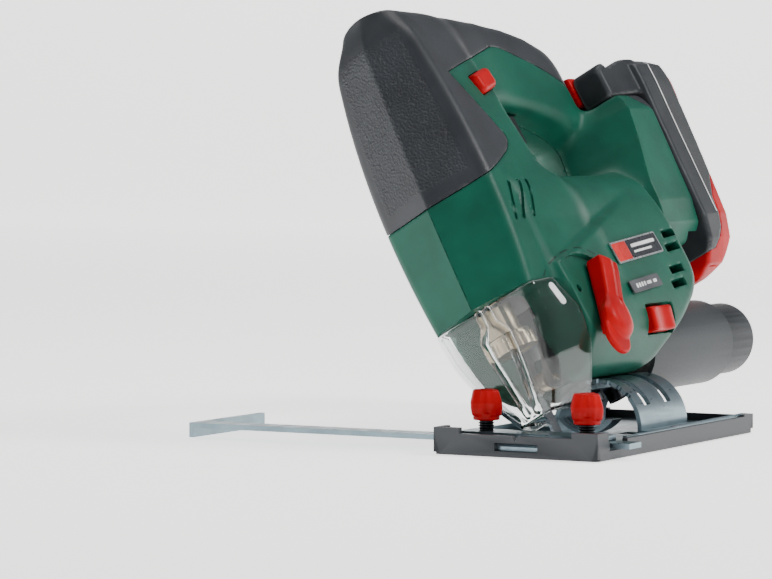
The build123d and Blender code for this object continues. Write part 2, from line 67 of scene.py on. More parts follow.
studio_paint = plain_paint("studio_paint", (0.93, 0.92, 0.905), 0.85)
glow = studio_paint.node_tree.nodes["Principled BSDF"].inputs
glow["Emission Color"].default_value = (1, 0.995, 0.985, 1)
glow["Emission Strength"].default_value = 1.6
bend = [(0.7 * math.sin(math.radians(a)) + 2.6, 0.7 - 0.7 * math.cos(math.radians(a)))
        for a in range(0, 91, 6)]
floor = sweep("studio_floor", [(-4.0, 0.0)] + bend + [(3.3, 0.85)], 6.0, studio_paint)
floor.data.transform(Matrix.Translation((0, 0, -0.0004)))

world = bpy.data.worlds.new("studio_air")
bpy.context.scene.world = world
world.use_nodes = True
world.node_tree.nodes["Background"].inputs["Color"].default_value = (0.93, 0.96, 1.0, 1)
world.node_tree.nodes["Background"].inputs["Strength"].default_value = 0.24


def soft_panel(name, place, towards, size, power):
    data = bpy.data.lights.new(name, "AREA")
    data.shape = "RECTANGLE"
    data.size, data.size_y = size
    data.energy = power
    panel = bpy.data.objects.new(name, data)
    bpy.context.collection.objects.link(panel)
    panel.location = place
    aim = Vector(towards) - panel.location
    panel.rotation_euler = aim.to_track_quat("-Z", "Y").to_euler()


soft_panel("side_panel", (0.90, 0.30, 1.0), (-0.06, -0.02, 0.15), (0.35, 0.35), 10)
soft_panel("top_panel", (-0.15, 0.25, 1.45), (-0.05, 0.0, 0.1), (1.0, 0.8), 9)
soft_panel("left_panel", (-1.35, -0.75, 0.45), (-0.05, 0.0, 0.12), (0.6, 0.9), 7)
soft_panel("front_panel", (0.35, -1.6, 0.10), (0.0, 0.0, 0.05), (0.9, 0.3), 1)
soft_panel("wall_panel", (0.0, 1.8, 1.6), (0.0, 3.1, 0.3), (6.0, 0.8), 30)

CAMERA_DISTANCE = 1.600
CAMERA_AZIMUTH = math.radians(28.967)
CAMERA_ELEVATION = math.radians(2.855)
LENS = 171.6
back = np.array([math.sin(CAMERA_AZIMUTH) * math.cos(CAMERA_ELEVATION),
                 -math.cos(CAMERA_AZIMUTH) * math.cos(CAMERA_ELEVATION),
                 math.sin(CAMERA_ELEVATION)])
right = np.array([math.cos(CAMERA_AZIMUTH), math.sin(CAMERA_AZIMUTH), 0])
up = np.cross(right, -back)
shoe_front = np.array([0, -0.083, 0])
eye = shoe_front + back * CAMERA_DISTANCE - right * 0.055908 + up * 0.073319
camera_data = bpy.data.cameras.new("camera")
camera_data.lens = LENS
camera_data.sensor_width = 36
camera_data.clip_end = 40
camera = bpy.data.objects.new("camera", camera_data)
bpy.context.collection.objects.link(camera)
turn = Matrix([[right[i], up[i], back[i]] for i in range(3)]).to_4x4()
camera.matrix_world = Matrix.Translation(eye) @ turn
bpy.context.scene.camera = camera

# ------------------------------------------------------------ shoe runners
# The glide shoe is one black glass-filled moulding that clips round the steel base.
# Its face is finely spark-eroded; the runners' convex edges get a painted highlight in a lighter
# colour.


def surface_group(name, inputs, outputs):
    """An empty shader node group with its sockets."""
    group = bpy.data.node_groups.new(name, "ShaderNodeTree")
    for label, value in inputs:
        socket = group.interface.new_socket(label, in_out="INPUT", socket_type="NodeSocketFloat")
        socket.default_value = value
    for label in outputs:
        group.interface.new_socket(label, in_out="OUTPUT", socket_type="NodeSocketFloat")
    return group, group.nodes.new("NodeGroupInput"), group.nodes.new("NodeGroupOutput")


def wire(tree, source, target):
    tree.links.new(source, target)


def moulding_grain():
    """Spark-eroded grain: a fine pitted height, slow blotches and a little gloss change."""
    group, inside, outside = surface_group(
        "moulding_grain", [("Grain Scale", 2200), ("Blotch Scale", 60)],
        ["Height", "Blotch", "Speckle"])
    place = group.nodes.new("ShaderNodeTexCoord")
    fine = group.nodes.new("ShaderNodeTexNoise")
    fine.inputs["Detail"].default_value = 3
    fine.inputs["Roughness"].default_value = 0.6
    pits = group.nodes.new("ShaderNodeTexVoronoi")
    pits.feature = "SMOOTH_F1"
    slow = group.nodes.new("ShaderNodeTexNoise")
    slow.inputs["Detail"].default_value = 2
    mix = group.nodes.new("ShaderNodeMath")
    mix.operation = "MULTIPLY"
    for texture in (fine, pits, slow):
        wire(group, place.outputs["Object"], texture.inputs["Vector"])
    wire(group, inside.outputs["Grain Scale"], fine.inputs["Scale"])
    wire(group, inside.outputs["Grain Scale"], pits.inputs["Scale"])
    wire(group, inside.outputs["Blotch Scale"], slow.inputs["Scale"])
    wire(group, fine.outputs["Fac"], mix.inputs[0])
    wire(group, pits.outputs["Distance"], mix.inputs[1])
    wire(group, mix.outputs[0], outside.inputs["Height"])
    wire(group, slow.outputs["Fac"], outside.inputs["Blotch"])
    wire(group, fine.outputs["Fac"], outside.inputs["Speckle"])
    return group


GRAIN = moulding_grain()


def ramp_between(tree, factor, low, high, start=0.3, end=0.7):
    """Maps a 0-1 mask to a number between low and high."""
    node = tree.nodes.new("ShaderNodeMapRange")
    for label, value in (("From Min", start), ("From Max", end), ("To Min", low), ("To Max", high)):
        node.inputs[label].default_value = value
    wire(tree, factor, node.inputs["Value"])
    return node.outputs["Result"]


def blend_colours(tree, factor, low, high):
    node = tree.nodes.new("ShaderNodeMix")
    node.data_type = "RGBA"
    node.inputs["A"].default_value = (*low, 1)
    node.inputs["B"].default_value = (*high, 1)
    wire(tree, factor, node.inputs["Factor"])
    return node.outputs["Result"]


def bump_from(tree, height, depth, strength=1.0, below=None):
    node = tree.nodes.new("ShaderNodeBump")
    node.inputs["Distance"].default_value = depth
    node.inputs["Strength"].default_value = strength
    wire(tree, height, node.inputs["Height"])
    if below:
        wire(tree, below, node.inputs["Normal"])
    return node.outputs["Normal"]


def edge_mask(tree, low=0.52, high=0.58):
    """Bright along convex edges; it places a painted edge highlight."""
    shape = tree.nodes.new("ShaderNodeNewGeometry")
    return ramp_between(tree, shape.outputs["Pointiness"], 0, 1, low, high)


PANEL_SCALE, PANEL_DEPTH, PANEL_LIFT = 0.42, 12, 3.2     # grip panel against plain grain


def moulded_plastic(name, colour, rough, scale=2200, depth=0.00006, lift=1.25, edge_highlight=None,
                    mask=None, shine=0.22):
    """Moulded plastic of one colour. mask names an attribute that marks a coarser panel. The
    optional edge colour is a painted highlight along convex edges.
    """
    material = bpy.data.materials.new(name)
    material.use_nodes = True
    tree = material.node_tree
    shader = tree.nodes["Principled BSDF"]
    shader.inputs["Specular IOR Level"].default_value = shine
    grain = tree.nodes.new("ShaderNodeGroup")
    grain.node_tree = GRAIN
    grain.inputs["Grain Scale"].default_value = scale
    dark = tuple(c / lift for c in colour)
    light = tuple(min(1, c * lift) for c in colour)
    tone = blend_colours(tree, ramp_between(tree, grain.outputs["Blotch"], 0, 1), dark, light)
    # Convex edges are drawn in a lighter colour here: a painted highlight.
    if edge_highlight:
        mix = tree.nodes.new("ShaderNodeMix")
        mix.data_type = "RGBA"
        mix.inputs["B"].default_value = (*edge_highlight, 1)
        wire(tree, tone, mix.inputs["A"])
        wire(tree, edge_mask(tree), mix.inputs["Factor"])
        tone = mix.outputs["Result"]
    wire(tree, tone, shader.inputs["Base Color"])
    wire(tree, ramp_between(tree, grain.outputs["Speckle"], rough - 0.07, rough + 0.09),
         shader.inputs["Roughness"])
    normal = bump_from(tree, grain.outputs["Height"], depth)
    if mask:
        panel = tree.nodes.new("ShaderNodeAttribute")
        panel.attribute_name = mask
        coarse = tree.nodes.new("ShaderNodeGroup")
        coarse.node_tree = GRAIN
        coarse.inputs["Grain Scale"].default_value = scale * PANEL_SCALE
        gate = tree.nodes.new("ShaderNodeMath")
        gate.operation = "MULTIPLY"
        wire(tree, panel.outputs["Fac"], gate.inputs[0])
        wire(tree, coarse.outputs["Height"], gate.inputs[1])
        normal = bump_from(tree, gate.outputs[0], depth * PANEL_DEPTH, 1.0, normal)
        fleck = tree.nodes.new("ShaderNodeMix")
        fleck.data_type = "RGBA"
        fleck.inputs["B"].default_value = tuple(min(1, c * PANEL_LIFT) for c in colour) + (1,)
        wire(tree, tone, fleck.inputs["A"])
        wire(tree, ramp_between(tree, gate.outputs[0], -0.25, 0.75), fleck.inputs["Factor"])
        wire(tree, fleck.outputs["Result"], shader.inputs["Base Color"])
    wire(tree, normal, shader.inputs["Normal"])
    return material


def dress(node, material):
    """Gives every face of a CAD node this material."""
    mesh = nodes[node].data
    mesh.materials.clear()
    mesh.materials.append(material)


# The lighter edge colour here is a painted highlight on convex edges.
charcoal = moulded_plastic("charcoal_moulding", (0.03, 0.033, 0.038), 0.46,
                           edge_highlight=(0.07, 0.075, 0.08))
# The lighter edge colour here is a painted highlight on convex edges.
dress("glide_shoe", moulded_plastic("shoe_moulding", (0.021, 0.024, 0.028), 0.42,
                                    edge_highlight=(0.06, 0.064, 0.07)))

# ------------------------------------------------------------ steel base and arch
# Pressed sheet steel, blue-passivated zinc plate: base plate, fence bridge, the arch
# that the saw tilts on and the ribbed trough in front of it.


def zinc_plate(name, colour=(0.23, 0.31, 0.35), rough=0.32, stretch=(1, 1, 1)):
    """Bright plated steel with rolled streaks and faint cloudy passivation."""
    material = bpy.data.materials.new(name)
    material.use_nodes = True
    tree = material.node_tree
    shader = tree.nodes["Principled BSDF"]
    shader.inputs["Metallic"].default_value = 1
    place = tree.nodes.new("ShaderNodeTexCoord")
    streaks = tree.nodes.new("ShaderNodeMapping")
    streaks.inputs["Scale"].default_value = stretch
    wire(tree, place.outputs["Object"], streaks.inputs["Vector"])
    rolled = tree.nodes.new("ShaderNodeTexNoise")
    rolled.inputs["Scale"].default_value = 620
    rolled.inputs["Detail"].default_value = 3
    wire(tree, streaks.outputs["Vector"], rolled.inputs["Vector"])
    clouds = tree.nodes.new("ShaderNodeTexNoise")
    clouds.inputs["Scale"].default_value = 70
    clouds.inputs["Detail"].default_value = 3
    wire(tree, place.outputs["Object"], clouds.inputs["Vector"])
    dark = tuple(c * 0.86 for c in colour)
    light = tuple(min(1, c * 1.12) for c in colour)
    wire(tree, blend_colours(tree, ramp_between(tree, clouds.outputs["Fac"], 0, 1), dark, light),
         shader.inputs["Base Color"])
    wire(tree, ramp_between(tree, rolled.outputs["Fac"], rough - 0.05, rough + 0.08),
         shader.inputs["Roughness"])
    wire(tree, bump_from(tree, rolled.outputs["Fac"], 0.000006), shader.inputs["Normal"])
    return material


zinc = zinc_plate("zinc_plated_sheet", stretch=(1, 0.12, 1))
for node in ("base_plate", "fence_bridge", "bevel_arch", "chip_trough", "tilt_clamp_plate",
             "fence_bar"):
    dress(node, zinc)
black_oxide = zinc_plate("black_oxide_steel", (0.035, 0.036, 0.04), 0.38)
for node in ("fence_stud_left", "fence_stud_right", "tilt_screws", "housing_screws"):
    dress(node, black_oxide)

# ------------------------------------------------------------ fence thumb screws
# Red acetal knobs pressed on M6 studs: a flange, then a tapered grip of three flats
# and three flutes. Made as one smooth skin round a solid rule.


def smax(a, b, k):
    """The larger of two distances, with the corner between them rounded over k."""
    gap = np.maximum(k - np.abs(a - b), 0)
    return np.maximum(a, b) + gap * gap / (4 * k)


def smin(a, b, k):
    return -smax(-a, -b, k)


def slab(u, low, high):
    return np.maximum(low - u, u - high)


def brick(x, y, z, x_range, y_range, z_range, k=0.01):
    return smax(smax(slab(x, *x_range), slab(y, *y_range), k), slab(z, *z_range), k)


def rod(u, v, centre, radius):
    return np.hypot(u - centre[0], v - centre[1]) - radius


def convex(u, v, points, k=0.01):
    """Distance to a convex outline with corners rounded over k; points go either way round."""
    area = sum(a[0] * b[1] - b[0] * a[1] for a, b in zip(points, points[1:] + points[:1]))
    way = 1 if area > 0 else -1
    total = None
    for a, b in zip(points, points[1:] + points[:1]):
        du, dv = b[0] - a[0], b[1] - a[1]
        length = math.hypot(du, dv)
        side = way * ((u - a[0]) * dv - (v - a[1]) * du) / length
        total = side if total is None else smax(total, side, k)
    return total


def capsule(u, v, a, b, radius):
    du, dv = b[0] - a[0], b[1] - a[1]
    t = np.clip(((u - a[0]) * du + (v - a[1]) * dv) / (du * du + dv * dv), 0, 1)
    return np.hypot(u - a[0] - t * du, v - a[1] - t * dv) - radius


def skin(rule, low, high, cell):
    """Closed quad skin where rule(x, y, z) is zero; sharp edges of the rule are kept."""
    low = np.array(low, float)
    count = np.ceil((np.array(high, float) - low) / cell).astype(int) + 1
    axes = [(low[a] + cell * np.arange(count[a])).astype(np.float32) for a in range(3)]
    field = rule(axes[0][:, None, None], axes[1][None, :, None], axes[2][None, None, :])
    field = np.broadcast_to(field, count).astype(np.float32)
    inside = field < 0
    points, normals, owners, flips = [], [], [], []
    for a in range(3):
        b, c = (a + 1) % 3, (a + 2) % 3
        near = tuple(slice(0, -1) if i == a else slice(None) for i in range(3))
        far = tuple(slice(1, None) if i == a else slice(None) for i in range(3))
        crossing = inside[near] != inside[far]
        grid = np.argwhere(crossing)
        f0, f1 = field[near][crossing], field[far][crossing]
        start = low + grid * cell
        t0, t1 = np.zeros(len(grid)), np.ones(len(grid))
        for _ in range(3):
            t = t0 + (t1 - t0) * np.clip(f0 / (f0 - f1 + 1e-12), 0.02, 0.98)
            p = start.copy()
            p[:, a] += t * cell
            f = rule(p[:, 0], p[:, 1], p[:, 2])
            same = (f < 0) == (f0 < 0)
            t0, f0 = np.where(same, t, t0), np.where(same, f, f0)
            t1, f1 = np.where(same, t1, t), np.where(same, f1, f)
        h = cell * 0.04
        slope = np.empty_like(p)
        for i in range(3):
            step = np.zeros(3)
            step[i] = h
            q, r = p + step, p - step
            slope[:, i] = rule(q[:, 0], q[:, 1], q[:, 2]) - rule(r[:, 0], r[:, 1], r[:, 2])
        slope /= np.linalg.norm(slope, axis=1, keepdims=True) + 1e-12
        ring = []
        for i, j in ((1, 1), (0, 1), (0, 0), (1, 0)):
            cell_at = grid.copy()
            cell_at[:, b] -= i
            cell_at[:, c] -= j
            ring.append(np.ravel_multi_index(tuple(cell_at.T), count))
        points.append(p)
        normals.append(slope)
        owners.append(np.stack(ring, 1))
        flips.append(inside[far][crossing])
    points, normals = np.concatenate(points), np.concatenate(normals)
    owners, flips = np.concatenate(owners), np.concatenate(flips)
    ids, where = np.unique(owners.ravel(), return_inverse=True)
    where = where.reshape(owners.shape)

    def gather(values):
        return sum(np.bincount(where[:, k], values, len(ids)) for k in range(4))

    weight = gather(np.ones(len(points)))
    middle = np.stack([gather(points[:, i]) for i in range(3)], 1) / weight[:, None]
    square = np.empty((len(ids), 3, 3))
    for i in range(3):
        for j in range(3):
            square[:, i, j] = gather(normals[:, i] * normals[:, j])
    square += np.eye(3) * 0.06 * weight[:, None, None]
    pull = np.zeros((len(ids), 3))
    for k in range(4):
        away = np.einsum("ij,ij->i", normals, points - middle[where[:, k]])
        for i in range(3):
            pull[:, i] += np.bincount(where[:, k], normals[:, i] * away, len(ids))
    shift = np.linalg.solve(square, pull[:, :, None])[:, :, 0]
    reach = np.linalg.norm(shift, axis=1, keepdims=True)
    shift *= np.minimum(1, cell * 0.9 / (reach + 1e-9))
    quads = where.copy()
    quads[flips] = quads[flips][:, ::-1]
    return middle + shift, quads


LEAN = math.radians(30)
PIVOT_HEIGHT = 7.0


def leaned(points):
    """From the upright machine, in millimetres, to the bevelled machine, in metres."""
    x, y, z = points[:, 0], points[:, 1], points[:, 2] - PIVOT_HEIGHT
    return np.stack([x * math.cos(LEAN) - z * math.sin(LEAN), y,
                     PIVOT_HEIGHT + x * math.sin(LEAN) + z * math.cos(LEAN)], 1) / 1000


def standing(points):
    return np.asarray(points) / 1000


def solid_mesh(name, points, faces, material, sharp=38):
    mesh = bpy.data.meshes.new(name)
    mesh.from_pydata([tuple(p) for p in points], [], [tuple(f) for f in faces])
    mesh.update()
    mesh.shade_smooth()
    mesh.set_sharp_from_angle(angle=math.radians(sharp))
    mesh.materials.append(material)
    piece = bpy.data.objects.new(name, mesh)
    bpy.context.collection.objects.link(piece)
    return piece


def mould(name, rule, low, high, cell, material, place=leaned, paint=None, sharp=38):
    """One moulded piece from its rule; paint gives a mask to each point."""
    points, quads = skin(rule, low, high, cell)
    piece = solid_mesh(name, place(points), quads.tolist(), material, sharp)
    if paint:
        mask = piece.data.attributes.new("panel", "FLOAT", "POINT")
        mask.data.foreach_set("value", paint(*points.T).astype(np.float32))
    return piece


def hand_over(piece, body, slot, *stands_for):
    """Puts a finished piece on its body in place of its CAD nodes."""
    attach(piece, body)
    if stands_for:
        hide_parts(*stands_for)


signal_red = moulded_plastic("signal_red_acetal", (0.46, 0.004, 0.007), 0.34, 1500, 0.00003,
                             1.18, shine=0.1)
KNOB_FOOT, KNOB_TOP = 14.2, 27.8
KNOB_RADIUS = 7.4


def knob_rule(x, y, z):
    taper = np.where(z < 22, KNOB_RADIUS, KNOB_RADIUS - (z - 22) * 0.27)
    narrow = np.where(z < 19.5, (19.5 - z) * 0.18, 0)
    turn = np.arctan2(y, x)
    radius = np.hypot(x, y)
    wave = 0.9 * np.cos(3 * turn + 0.09 * (z - 16)) + 0.3 * np.cos(9 * turn)
    grip = smax(radius - (taper - narrow + wave - 0.7), slab(z, 16, KNOB_TOP), 1.2)
    flange = smax(radius - 5.9, slab(z, KNOB_FOOT, 17.6), 0.6)
    seat = np.maximum(radius - 3.05, z - KNOB_FOOT - 3)
    return np.maximum(smin(grip, flange, 0.5), -seat)


for side, label in ((1, "left"), (-1, "right")):
    centre = np.array([24.7 * side, -62, 0])
    knob = mould("fence_knob_grip_" + label,
                 lambda x, y, z, c=centre: knob_rule(x - c[0], y - c[1], z),
                 centre + (-9, -9, 13), centre + (9, 9, 29), 0.4, signal_red, standing)
    hand_over(knob, "fence_screw_" + label, "red", "fence_knob_" + label)

# ------------------------------------------------------------ screw threads and side strips
# The studs carry rolled M6 threads, and the base plate's folded edges show above the
# runners as bright strips with pressed serrations.


def thing_along(name, count, step, start, section, material):
    """Geometry Nodes piece: count copies of a small section in a row along one axis."""
    tree = bpy.data.node_groups.new(name + "_rows", "GeometryNodeTree")
    face = tree.interface
    face.new_socket("Geometry", in_out="OUTPUT", socket_type="NodeSocketGeometry")
    sockets = {}
    for label, kind, value in (("Count", "NodeSocketInt", count),
                               ("Step", "NodeSocketVector", step),
                               ("Start", "NodeSocketVector", start),
                               ("Section", "NodeSocketObject", section)):
        socket = face.new_socket(label, in_out="INPUT", socket_type=kind)
        sockets[socket.identifier] = value
    inside, outside = tree.nodes.new("NodeGroupInput"), tree.nodes.new("NodeGroupOutput")
    line = tree.nodes.new("GeometryNodeMeshLine")
    line.mode = "OFFSET"
    pick = tree.nodes.new("GeometryNodeObjectInfo")
    put = tree.nodes.new("GeometryNodeInstanceOnPoints")
    real = tree.nodes.new("GeometryNodeRealizeInstances")
    paint = tree.nodes.new("GeometryNodeSetMaterial")
    paint.inputs["Material"].default_value = material
    wire(tree, inside.outputs["Count"], line.inputs["Count"])
    wire(tree, inside.outputs["Step"], line.inputs["Offset"])
    wire(tree, inside.outputs["Start"], line.inputs["Start Location"])
    wire(tree, inside.outputs["Section"], pick.inputs["Object"])
    wire(tree, line.outputs["Mesh"], put.inputs["Points"])
    wire(tree, pick.outputs["Geometry"], put.inputs["Instance"])
    wire(tree, put.outputs["Instances"], real.inputs["Geometry"])
    wire(tree, real.outputs["Geometry"], paint.inputs["Geometry"])
    wire(tree, paint.outputs["Geometry"], outside.inputs["Geometry"])
    carrier = bpy.data.objects.new(name + "_carrier", bpy.data.meshes.new(name + "_carrier"))
    bpy.context.collection.objects.link(carrier)
    rows = carrier.modifiers.new("rows", "NODES")
    rows.node_group = tree
    for identifier, value in sockets.items():
        rows[identifier] = value
    evaluated = carrier.evaluated_get(bpy.context.evaluated_depsgraph_get())
    mesh = bpy.data.meshes.new_from_object(evaluated)
    carrier.modifiers.remove(rows)
    bpy.data.objects.remove(carrier)
    bpy.data.objects.remove(section)
    mesh.name = name
    piece = bpy.data.objects.new(name, mesh)
    bpy.context.collection.objects.link(piece)
    return piece


def ring_section(name, radius, crest, sides=28):
    """One thread crest: a small ring with a pointed outside."""
    points, faces = [], []
    for i in range(sides):
        a = 2 * math.pi * i / sides
        for r, z in ((radius - crest, -0.0005), (radius, 0), (radius - crest, 0.0005)):
            points.append((r * math.cos(a), r * math.sin(a), z))
    for i in range(sides):
        j = (i + 1) % sides
        for a, b in ((0, 1), (1, 2), (2, 0)):
            faces.append([3 * i + a, 3 * j + a, 3 * j + b, 3 * i + b])
    mesh = bpy.data.meshes.new(name)
    mesh.from_pydata(points, [], faces)
    piece = bpy.data.objects.new(name, mesh)
    bpy.context.collection.objects.link(piece)
    return piece


for side, label in ((1, "left"), (-1, "right")):
    thread = thing_along("fence_stud_thread_" + label, 5, (0, 0, 0.00115),
                         (0.0247 * side, -0.062, 0.0094),
                         ring_section("crest", 0.0037, 0.0009), black_oxide)
    hand_over(thread, "fence_screw_" + label, "dark_steel")


def tooth_section(name, size):
    """One pressed serration: a low wedge."""
    x, y, z = size
    points = [(-x, -y, 0), (x, -y, 0), (x, y, 0), (-x, y, 0), (-x, 0, z), (x, 0, z)]
    faces = [(3, 2, 1, 0), (0, 1, 5, 4), (2, 3, 4, 5), (1, 2, 5), (3, 0, 4)]
    mesh = bpy.data.meshes.new(name)
    mesh.from_pydata(points, [], faces)
    piece = bpy.data.objects.new(name, mesh)
    bpy.context.collection.objects.link(piece)
    return piece


def strip_rule(x, y, z, side):
    return smax(smax(slab(x * side, 35.2, 37.6), slab(y, -36, 83), 0.4), slab(z, 4.6, 8.6), 0.8)


for side, label in ((1, "left"), (-1, "right")):
    low = (34.5, -37, 4) if side > 0 else (-38.5, -37, 4)
    high = (38.5, 84, 9.4) if side > 0 else (-34.5, 84, 9.4)
    strip = mould("base_fold_" + label, lambda x, y, z, s=side: strip_rule(x, y, z, s),
                  low, high, 0.6, zinc, standing)
    hand_over(strip, "shoe", "zinc")
    teeth = thing_along("base_fold_serrations_" + label, 42, (0, 0.0019, 0),
                        (0.0364 * side, 0.002, 0.0083),
                        tooth_section("serration", (0.0011, 0.0007, 0.0008)), zinc)
    hand_over(teeth, "shoe", "zinc")

# ------------------------------------------------------------ housing halves and cap
# Two glass-filled nylon shells, dark green, screwed together along the middle, and a
# charcoal cap over the nose and the back of the handle. All share one outer form.

NOSE_HEIGHTS = np.array([71.0, 97.0, 123.0, 160.0, 198.0, 218.0])
NOSE_CREASE = np.polyfit(NOSE_HEIGHTS, [-62.0, -60.3, -55.5, -50.0, -42.8, -38.0], 3)
NOSE_RIDGE_X = np.polyfit(NOSE_HEIGHTS, [27.2, 29.4, 30.6, 28.8, 23.8, 20.0], 3)
NOSE_RIDGE_Y = np.polyfit(NOSE_HEIGHTS, [-53.0, -50.0, -46.0, -42.0, -36.0, -31.5], 3)
NOSE_BACK_X = np.polyfit(NOSE_HEIGHTS, [31.0, 32.5, 33.0, 27.0, 18.0, 14.0], 3)
NOSE_BACK_Y = 22.0
LOWER_OUTLINE = [(-20, 128), (-31, 116), (-36, 92), (-36, 57), (-32, 41), (-18, 27),
                 (18, 27), (32, 41), (36, 57), (36, 92), (31, 116), (20, 128)]
TRUNK_SIDE = [(-26, 26), (45, 26), (98, 56), (105, 66), (105, 128), (-26, 128)]
COLUMN_SIDE = [(88, 96), (112, 83), (150, 86), (150, 163), (118, 163), (100, 150), (96, 128)]
OPENING_SIDE = [(14, 131), (95, 131), (102, 141), (103, 152), (86, 164), (32, 170), (16, 162)]
HANDLE_Y = [-60, -20, 0, 30, 60, 81, 97, 111, 122, 140]
HANDLE_Z = [220.5, 220.6, 220.6, 220.4, 219.2, 215.6, 211, 204.5, 197, 185]
SCREW_WELLS = ((-9.0, 151.0), (97.0, 111.0), (126.0, 95.0), (112.0, 156.0), (6.0, 43.0),
               (40.0, 43.0))
LEVER_AXLE = (-13.0, 43.0)
SMALL_SCREW = (-20, 62.5)
VENTS = ((95.5, 85.5), (92.0, 78.2), (84.5, 66.6), (79.5, 59.3))
CLIMB = math.radians(5)     # labels and vents climb towards the back


def tilted(y, z, middle, angle):
    """Distances along and across a line that climbs at an angle."""
    along = (y - middle[0]) * math.cos(angle) + (z - middle[1]) * math.sin(angle)
    return along, -(y - middle[0]) * math.sin(angle) + (z - middle[1]) * math.cos(angle)


def nose_rule(x, y, z):
    across = np.abs(x)
    crease, ridge_x = np.polyval(NOSE_CREASE, z), np.polyval(NOSE_RIDGE_X, z)
    ridge_y, back_x = np.polyval(NOSE_RIDGE_Y, z), np.polyval(NOSE_BACK_X, z)
    run = ridge_y - crease
    length = np.sqrt(run ** 2 + ridge_x ** 2)
    front = (across * run - (y - crease) * ridge_x) / length
    run, rise = NOSE_BACK_Y - ridge_y, back_x - ridge_x
    length = np.sqrt(run ** 2 + rise ** 2)
    side = ((across - ridge_x) * run - (y - ridge_y) * rise) / length
    wedge = smax(front, side, 5.0)
    wedge = smax(wedge, y - NOSE_BACK_Y, 14)
    return np.maximum(smax(wedge, z - 221.5, 24), 71 - z)


def handle_rule(x, y, z):
    top = np.interp(y, HANDLE_Y, HANDLE_Z)
    bar = smax(smax(z - top, y - 123, 9), slab(y, -30, 160), 0.1)
    bar = np.maximum(bar, 150 - z)
    waist = 16.5 - 2.0 * np.exp(-((y - 62) / 26) ** 2)
    return smax(np.abs(x) - waist, bar, 17)


def trunk_rule(x, y, z):
    across = np.abs(x)
    side = convex(y, z, TRUNK_SIDE, 4)
    front = convex(x, z, LOWER_OUTLINE, 2.5)
    brow = 77 + 0.30 * (y + 20)
    lift = np.clip((z - brow) / 5, 0, 1)
    lift = lift * lift * (3 - 2 * lift)
    scoop = 4.4 * lift * np.clip((122 - z) / 24, 0, 1)
    ahead = np.clip((4 - y) / 34, 0, 1) ** 2 * 3.5
    return smax(smax(side, front, 4), across - (36 - scoop - ahead), 3)


def column_rule(x, y, z):
    side = convex(y, z, COLUMN_SIDE, 5)
    wide = np.interp(z, [84, 93, 105, 120, 137, 154, 163], [22, 30, 32.5, 33.5, 34.8, 35.8, 33])
    ahead = np.clip(np.interp(z, [90, 114, 140, 160], [112, 110, 119, 124]) - y, 0, 40) * 1.7
    return smax(side, (np.abs(x) - (wide - ahead)) * 0.8, 1.6)


def body_rule(x, y, z):
    """Outside of the whole body, with the hand opening through it."""
    whole = smin(nose_rule(x, y, z), trunk_rule(x, y, z), 9)
    whole = smin(whole, handle_rule(x, y, z), 7)
    whole = smin(whole, column_rule(x, y, z), 7)
    opening = convex(y, z, OPENING_SIDE, 12)
    flare = np.clip(np.abs(x) - 12, 0, 40) * 0.28
    return smax(whole, -(opening - flare), 7)


def carved(whole, depth, region):
    """Takes depth off the surface inside a region."""
    return np.maximum(whole, -np.maximum(region, -(whole + depth)))


def housing_rule(x, y, z):
    whole = body_rule(x, y, z)
    across = np.abs(x)
    for start in (-33, -26, -19):
        groove = capsule(y, z, (start, 118), (start - 8, 101), 1.15)
        whole = carved(whole, 1.0, groove)
    dial = np.maximum(rod(y, z, LEVER_AXLE, 35.5), -(x - 32.6))
    dial = np.maximum(dial, convex(y, z, [(-40, 40), (3, 40), (9, 80), (-40, 80)], 6))
    whole = smax(whole, -dial, 1.2)
    hollow = brick(x, y, z, (-26.5, 26.5), (-47, -5), (60, 145))
    hollow = np.minimum(hollow, brick(across, y, z, (-1, 11), (-53, -14), (60, 90)))
    hollow = np.maximum(hollow, whole + 3)
    for room in (
            brick(across, y, z, (-1, 11), (-52, -14), (60, 80)),
            brick(across, y, z, (-1, 9), (-40, -12), (20, 75)),
            np.maximum(rod(y, x, (-40, 0), 5), slab(z, 130, 163)),
            np.maximum(rod(x, z, (0, 87), 21), slab(y, -8, 112)),
            brick(across, y, z, (-1, 21.5), (18, 92), (100, 125)),
            brick(across, y, z, (-1, 8), (26, 62), (172, 197)),
            brick(across, y, z, (-1, 7), (23, 64), (150, 176), 2),
            np.maximum(rod(x, z, (0, 7), 22.6), slab(y, -40, 54)),
            np.maximum(rod(x, z, (0, 42), 20.9), slab(y, 55, 140)),
            brick(across, y, z, (-1, 26.5), (139.5, 170), (60, 200)),
            brick(across, y, z, (-1, 20.3), (134.2, 141), (91.7, 150.3))):
        hollow = np.minimum(hollow, room)
    for y_slot in (12, 34):
        hollow = np.minimum(hollow, np.maximum(rod(x, y, (0, y_slot), 2.9), slab(z, 20, 38)))
    for well in SCREW_WELLS:
        hollow = np.minimum(hollow, np.maximum(rod(y, z, well, 3.5), x + 15.8))
    for middle in VENTS:
        along, over = tilted(y, z, middle, CLIMB)
        slot = brick(across, along, over, (18, 50), (-8, 8), (-1.9, 1.9), 1)
        hollow = np.minimum(hollow, slot)
    hollow = np.minimum(hollow, np.maximum(rod(y, z, LEVER_AXLE, 3.4), 20 - x))
    hollow = np.minimum(hollow, np.maximum(rod(y, z, SMALL_SCREW, 1.9), 27 - x))
    hollow = np.minimum(hollow, brick(x, y, z, (24, 60), (33.5, 62.5), (37.5, 50.5), 1))
    run, rise = tilted(y, z, (3, 173.5), math.radians(15))
    hollow = np.minimum(hollow, np.maximum(slab(run, -8.8, 8.8), slab(rise, -5.6, 5.6)))
    return smax(whole, -hollow, 0.7)


